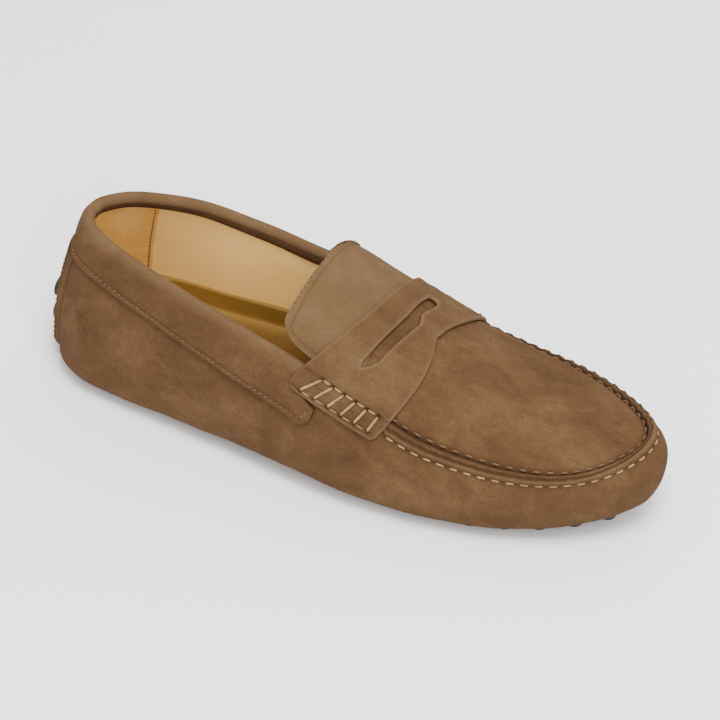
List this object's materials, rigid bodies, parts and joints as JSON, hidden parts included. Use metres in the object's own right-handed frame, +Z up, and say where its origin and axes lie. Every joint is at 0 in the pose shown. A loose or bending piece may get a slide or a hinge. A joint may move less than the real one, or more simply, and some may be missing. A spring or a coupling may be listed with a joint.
{
  "type": "driving moccasin",
  "caption": "Right suede penny driving moccasin with hand sewn plug, slotted strap, rolled collar band and rubber studs standing on the floor.",
  "frame": {"origin": "on the floor, at the middle of the round rubber stud under the heel", "axes": "+X to the toe, +Y to the inner side of the foot, +Z up from the floor"},
  "size_m": [0.2853, 0.0994, 0.0857],
  "materials": {
    "suede": "brushed suede, dull short nap",
    "rubber": "moulded, slightly shiny",
    "sock_leather": "smooth, semi-gloss"
  },
  "bodies": {
    "root": {"upper": "suede", "underside_panel": "suede", "rubber_sole": "rubber", "insole": "sock_leather", "plug": "suede", "tongue": "suede", "strap": "suede", "collar_band": "suede", "heel_patch": "suede", "heel_rubber": "rubber"}
  },
  "joints": []
}
